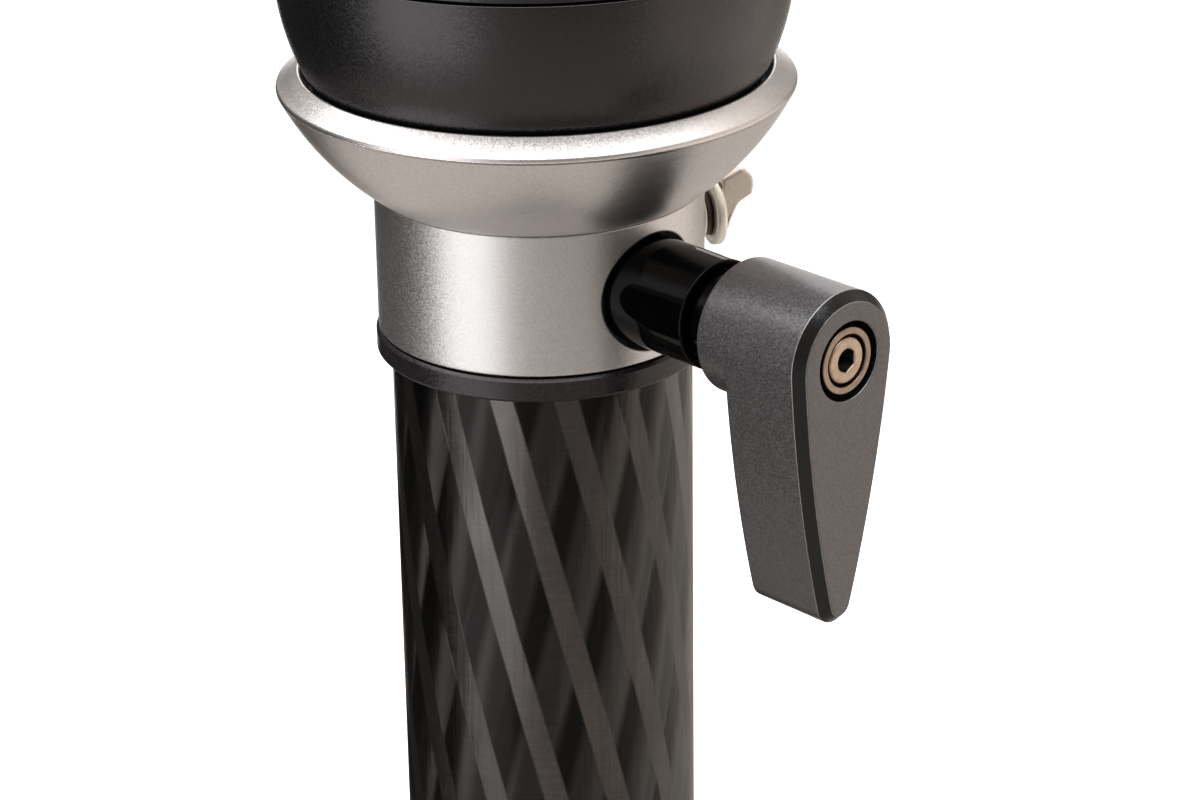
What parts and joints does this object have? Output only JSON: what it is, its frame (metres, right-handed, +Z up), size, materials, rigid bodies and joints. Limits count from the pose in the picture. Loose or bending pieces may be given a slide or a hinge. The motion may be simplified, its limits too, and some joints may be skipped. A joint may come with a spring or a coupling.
{
  "type": "camera monopod",
  "caption": "Camera monopod with a carbon telescopic leg, twist locks, a levelling half ball clamped by a side lever, and a folding three-foot base.",
  "frame": {"origin": "the floor under the leg, on the leg's axis, with the leg closed and the feet spread", "axes": "+Z up along the leg, towards the camera; +X along the clamping lever's shaft"},
  "size_m": [0.2583, 0.2978, 0.7381],
  "materials": {
    "carbon_tube": "clear-coated crossed carbon tape, gloss",
    "black_satin": "black anodised, fine matt grain",
    "silver_blasted": "bead-blasted and anodised silver",
    "lever_coat": "graphite powder coat with fine metallic grain",
    "gloss_black": "gloss black",
    "bronze_steel": "turned steel with a bronze tint",
    "plain_steel": "bright turned steel",
    "black_rubber": "moulded matt rubber",
    "nylon": "moulded nylon"
  },
  "bodies": {
    "upper": {"leg_tube_1": "carbon_tube", "lock_sleeve_1": "black_satin", "lock_shim_1": "nylon", "leg_spigot": "silver_blasted", "trim_ring": "black_satin", "collar": "silver_blasted", "bowl": "silver_blasted", "bowl_screws": "plain_steel", "lever_bush": "gloss_black", "side_spacer": "gloss_black", "side_washer": "silver_blasted", "release_spring": "plain_steel"},
    "liner": {"bowl_liner": "nylon"},
    "ball": {"half_ball": "black_satin"},
    "platform": {"platform": "black_satin", "platform_snap_ring": "plain_steel", "platform_pad": "black_rubber", "camera_stud": "plain_steel"},
    "clamp": {"draw_bolt": "plain_steel", "clamp_cap": "silver_blasted", "cap_nut": "plain_steel"},
    "lever_shaft": {"cam_shaft": "gloss_black", "lever_insert": "bronze_steel", "lever_ring": "bronze_steel", "lever_screw": "bronze_steel", "lever_spring": "plain_steel"},
    "lever": {"lever": "lever_coat"},
    "side_screw": {"side_flag_screw": "lever_coat"},
    "lock_1": {"lock_collar_1": "black_satin", "lock_grip_1": "black_rubber"},
    "leg_2": {"leg_tube_2": "carbon_tube", "guide_bush_2": "nylon", "lock_sleeve_2": "black_satin", "lock_shim_2": "nylon"},
    "lock_2": {"lock_collar_2": "black_satin", "lock_grip_2": "black_rubber"},
    "leg_3": {"leg_tube_3": "carbon_tube", "guide_bush_3": "nylon", "lock_sleeve_3": "black_satin", "lock_shim_3": "nylon"},
    "lock_3": {"lock_collar_3": "black_satin", "lock_grip_3": "black_rubber"},
    "leg_4": {"leg_tube_4": "carbon_tube", "guide_bush_4": "nylon", "base_plug": "black_satin", "base_nut": "plain_steel"},
    "base": {"base_hub": "black_satin", "base_washer": "nylon", "foot_pin_1": "plain_steel", "foot_pin_2": "plain_steel", "foot_pin_3": "plain_steel"},
    "foot_1": {"foot_arm_1": "black_satin", "foot_boot_1": "black_rubber"},
    "foot_2": {"foot_arm_2": "black_satin", "foot_boot_2": "black_rubber"},
    "foot_3": {"foot_arm_3": "black_satin", "foot_boot_3": "black_rubber"}
  },
  "joints": [
    {"name": "liner_spin", "type": "hinge", "parent": "upper", "child": "liner", "pos_m": [0, 0, 0.7099], "axis": [0, 0, 1], "continuous": true},
    {"name": "ball_tilt", "type": "hinge", "parent": "liner", "child": "ball", "pos_m": [0, 0, 0.7099], "axis": [1, 0, 0], "range_deg": [-15, 15]},
    {"name": "platform_pan", "type": "hinge", "parent": "ball", "child": "platform", "pos_m": [0, 0, 0.7099], "axis": [0, 0, 1], "continuous": true},
    {"name": "lever_turn", "type": "hinge", "parent": "upper", "child": "lever_shaft", "pos_m": [0, 0, 0.67332], "axis": [1, 0, 0], "range_deg": [0, 90]},
    {"name": "lever_pull", "type": "slide", "parent": "lever_shaft", "child": "lever", "axis": [1, 0, 0], "range_m": [0, 0.0035], "stiffness_N_per_m": 900, "springref_m": -0.003, "deforming": ["lever_spring"]},
    {"name": "clamp_lift", "type": "slide", "parent": "upper", "child": "clamp", "axis": [0, 0, 1], "range_m": [0, 0.0007], "deforming": ["release_spring"]},
    {"name": "side_screw_turn", "type": "hinge", "parent": "upper", "child": "side_screw", "pos_m": [0.00917, 0.01777, 0.6756], "axis": [0.4587, 0.8886, 0], "range_deg": [0, 180]},
    {"name": "lock_1_turn", "type": "hinge", "parent": "upper", "child": "lock_1", "pos_m": [0, 0, 0.185], "axis": [0, 0, 1], "range_deg": [0, 90]},
    {"name": "leg_2_slide", "type": "slide", "parent": "upper", "child": "leg_2", "axis": [0, 0, -1], "range_m": [0, 0.36]},
    {"name": "lock_2_turn", "type": "hinge", "parent": "leg_2", "child": "lock_2", "pos_m": [0, 0, 0.1478], "axis": [0, 0, 1], "range_deg": [0, 90]},
    {"name": "leg_3_slide", "type": "slide", "parent": "leg_2", "child": "leg_3", "axis": [0, 0, -1], "range_m": [0, 0.36]},
    {"name": "lock_3_turn", "type": "hinge", "parent": "leg_3", "child": "lock_3", "pos_m": [0, 0, 0.1106], "axis": [0, 0, 1], "range_deg": [0, 90]},
    {"name": "leg_4_slide", "type": "slide", "parent": "leg_3", "child": "leg_4", "axis": [0, 0, -1], "range_m": [0, 0.36]},
    {"name": "base_pan", "type": "hinge", "parent": "leg_4", "child": "base", "pos_m": [0, 0, 0.073], "axis": [0, 0, 1], "continuous": true},
    {"name": "foot_1_fold", "type": "hinge", "parent": "base", "child": "foot_1", "pos_m": [0.0105, 0.01819, 0.058], "axis": [-0.866, 0.5, 0], "range_deg": [0, 70]},
    {"name": "foot_2_fold", "type": "hinge", "parent": "base", "child": "foot_2", "pos_m": [-0.021, 0, 0.058], "axis": [0, -1, 0], "range_deg": [0, 70]},
    {"name": "foot_3_fold", "type": "hinge", "parent": "base", "child": "foot_3", "pos_m": [0.0105, -0.01819, 0.058], "axis": [0.866, 0.5, 0], "range_deg": [0, 70]}
  ],
  "couplings": [
    {"joint": "clamp_lift", "follows": "lever_turn", "m_per_rad": 0.00044563}
  ]
}
